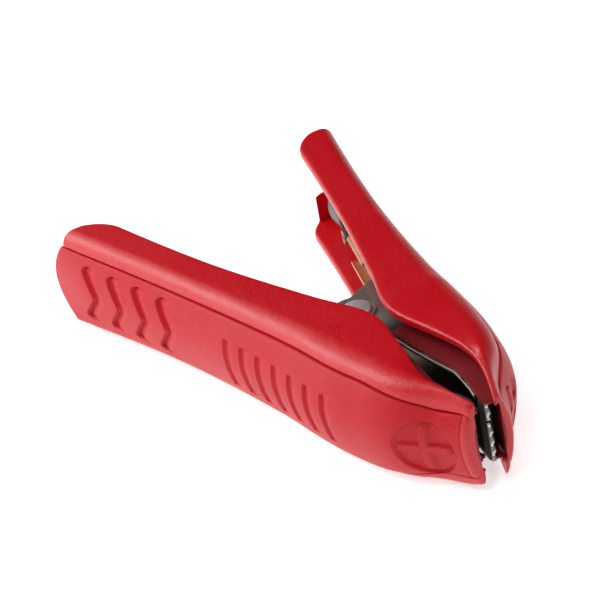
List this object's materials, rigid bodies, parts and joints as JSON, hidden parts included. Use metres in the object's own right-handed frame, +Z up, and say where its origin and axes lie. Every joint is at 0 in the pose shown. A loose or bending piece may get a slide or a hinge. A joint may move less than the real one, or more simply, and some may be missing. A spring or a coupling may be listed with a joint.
{
  "type": "insulated battery clamp",
  "caption": "Red insulated crocodile clamp: two moulded handles round sprung steel jaws on a pivot, with teeth at the nose and a crimp barrel for a cord.",
  "frame": {"origin": "middle of the clamp as it lies on its side, on the surface it lies on", "axes": "+X from the handles to the nose, +Y from the front half to the rear half, +Z up along the pivot"},
  "size_m": [0.161, 0.0946, 0.0324],
  "materials": {
    "red_plastic": "moulded red plastic with a fine grain, satin",
    "cover_plastic": "moulded red plastic with a soft sheen",
    "jaw_steel": "zinc-plated pressed steel, dull",
    "bright_steel": "bright plated steel",
    "screw_steel": "plated screws with a slot",
    "rivet_steel": "bright plated, domed heads",
    "spring_steel": "drawn spring wire",
    "copper": "rolled copper sheet, slightly dulled"
  },
  "bodies": {
    "front_half": {"front_shell": "red_plastic", "front_cover": "cover_plastic", "front_jaw": "jaw_steel", "front_tooth_plate": "bright_steel", "front_jaw_screws": "screw_steel", "front_plate_rivets": "rivet_steel", "pivot_rivet": "rivet_steel", "pivot_washers": "rivet_steel", "spacer_sleeve": "jaw_steel", "torsion_spring": "spring_steel"},
    "rear_half": {"rear_shell": "red_plastic", "rear_cover": "cover_plastic", "rear_jaw": "jaw_steel", "rear_tooth_plate": "bright_steel", "rear_jaw_screws": "screw_steel", "rear_plate_rivets": "rivet_steel", "cable_terminal": "copper", "terminal_rivets": "rivet_steel", "cord_clip": "jaw_steel", "clip_screws": "screw_steel"}
  },
  "joints": [
    {"name": "jaw_pivot", "type": "hinge", "parent": "front_half", "child": "rear_half", "pos_m": [0.0165, 0, 0.0162], "axis": [0, 0, 1], "range_deg": [0, 38], "stiffness_Nm_per_rad": 5, "springref_deg": -34.38, "deforming": ["torsion_spring"]}
  ]
}
